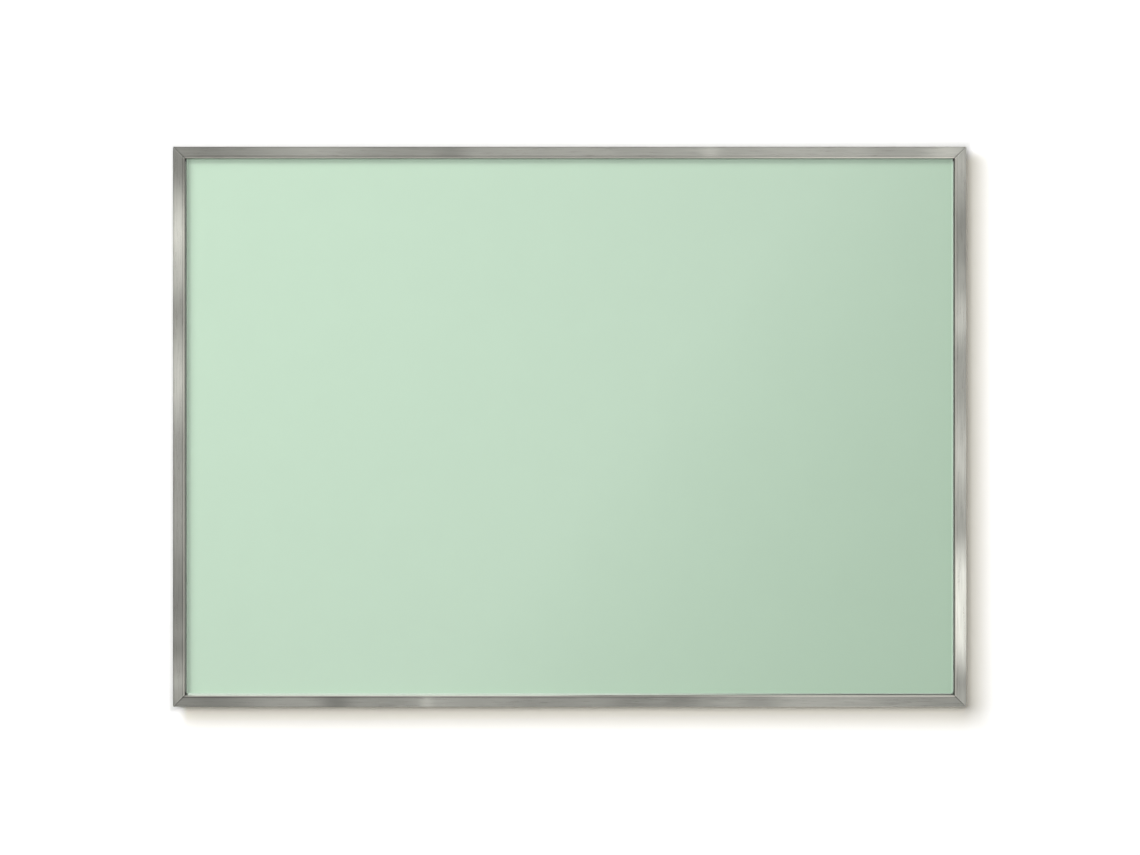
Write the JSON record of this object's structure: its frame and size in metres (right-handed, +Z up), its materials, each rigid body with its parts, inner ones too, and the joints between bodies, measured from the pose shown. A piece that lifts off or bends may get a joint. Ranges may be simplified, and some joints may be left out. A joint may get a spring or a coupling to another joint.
{
  "type": "magnetic glass board",
  "caption": "Wall-hung magnetic glass board: clear glass over a mint green layer in a slim mitred brushed metal frame, lifted on and off a wall rail.",
  "frame": {"origin": "on the wall, at the middle of the wall rail's back face", "axes": "+X to the board's right seen from the front, +Y into the wall, +Z up; the board's front faces -Y"},
  "size_m": [0.85, 0.0256, 0.6],
  "materials": {
    "frame_metal": "finely brushed along each bar, warm grey, satin",
    "clear_glass": "polished clear toughened glass",
    "mint_film": "smooth mint green layer behind the glass",
    "galvanised_steel": "galvanised sheet with faint spangle",
    "zinc_plated_steel": "bright zinc plate, slightly worn at edges",
    "spring_steel": "dark tempered spring steel",
    "hardboard": "smooth-faced brown hardboard",
    "black_gasket": "matt black extruded rubber",
    "clear_rubber": "soft translucent grey pad",
    "mill_aluminium": "mill finish extrusion with faint die lines"
  },
  "bodies": {
    "wall_mount": {"wall_rail": "mill_aluminium"},
    "board": {"frame_top": "frame_metal", "frame_right": "frame_metal", "frame_bottom": "frame_metal", "frame_left": "frame_metal", "gasket_top": "black_gasket", "gasket_right": "black_gasket", "gasket_bottom": "black_gasket", "gasket_left": "black_gasket", "glass_pane": "clear_glass", "colour_film": "mint_film", "steel_sheet": "galvanised_steel", "backboard": "hardboard", "spring_clip_top_1": "spring_steel", "spring_clip_top_2": "spring_steel", "spring_clip_top_3": "spring_steel", "spring_clip_right_1": "spring_steel", "spring_clip_right_2": "spring_steel", "spring_clip_bottom_1": "spring_steel", "spring_clip_bottom_2": "spring_steel", "spring_clip_bottom_3": "spring_steel", "spring_clip_left_1": "spring_steel", "spring_clip_left_2": "spring_steel", "corner_plate_top_left": "zinc_plated_steel", "corner_plate_top_right": "zinc_plated_steel", "corner_plate_bottom_left": "zinc_plated_steel", "corner_plate_bottom_right": "zinc_plated_steel", "corner_shim_top_left": "zinc_plated_steel", "corner_shim_top_right": "zinc_plated_steel", "corner_shim_bottom_left": "zinc_plated_steel", "corner_shim_bottom_right": "zinc_plated_steel", "corner_screw_top_left_a": "zinc_plated_steel", "corner_screw_top_left_b": "zinc_plated_steel", "corner_screw_top_right_a": "zinc_plated_steel", "corner_screw_top_right_b": "zinc_plated_steel", "corner_screw_bottom_left_a": "zinc_plated_steel", "corner_screw_bottom_left_b": "zinc_plated_steel", "corner_screw_bottom_right_a": "zinc_plated_steel", "corner_screw_bottom_right_b": "zinc_plated_steel", "bumper_left": "clear_rubber", "bumper_right": "clear_rubber"},
    "hanger_left": {"hanger_plate_left": "zinc_plated_steel", "hanger_nut_left": "zinc_plated_steel", "hanger_screw_left": "zinc_plated_steel"},
    "hanger_right": {"hanger_plate_right": "zinc_plated_steel", "hanger_nut_right": "zinc_plated_steel", "hanger_screw_right": "zinc_plated_steel"}
  },
  "joints": [
    {"name": "board_lift", "type": "slide", "parent": "wall_mount", "child": "board", "axis": [0, 0, 1], "range_m": [0, 0.0125]},
    {"name": "hanger_left_slide", "type": "slide", "parent": "board", "child": "hanger_left", "axis": [1, 0, 0], "range_m": [-0.06, 0.17]},
    {"name": "hanger_right_slide", "type": "slide", "parent": "board", "child": "hanger_right", "axis": [1, 0, 0], "range_m": [-0.17, 0.06]}
  ]
}
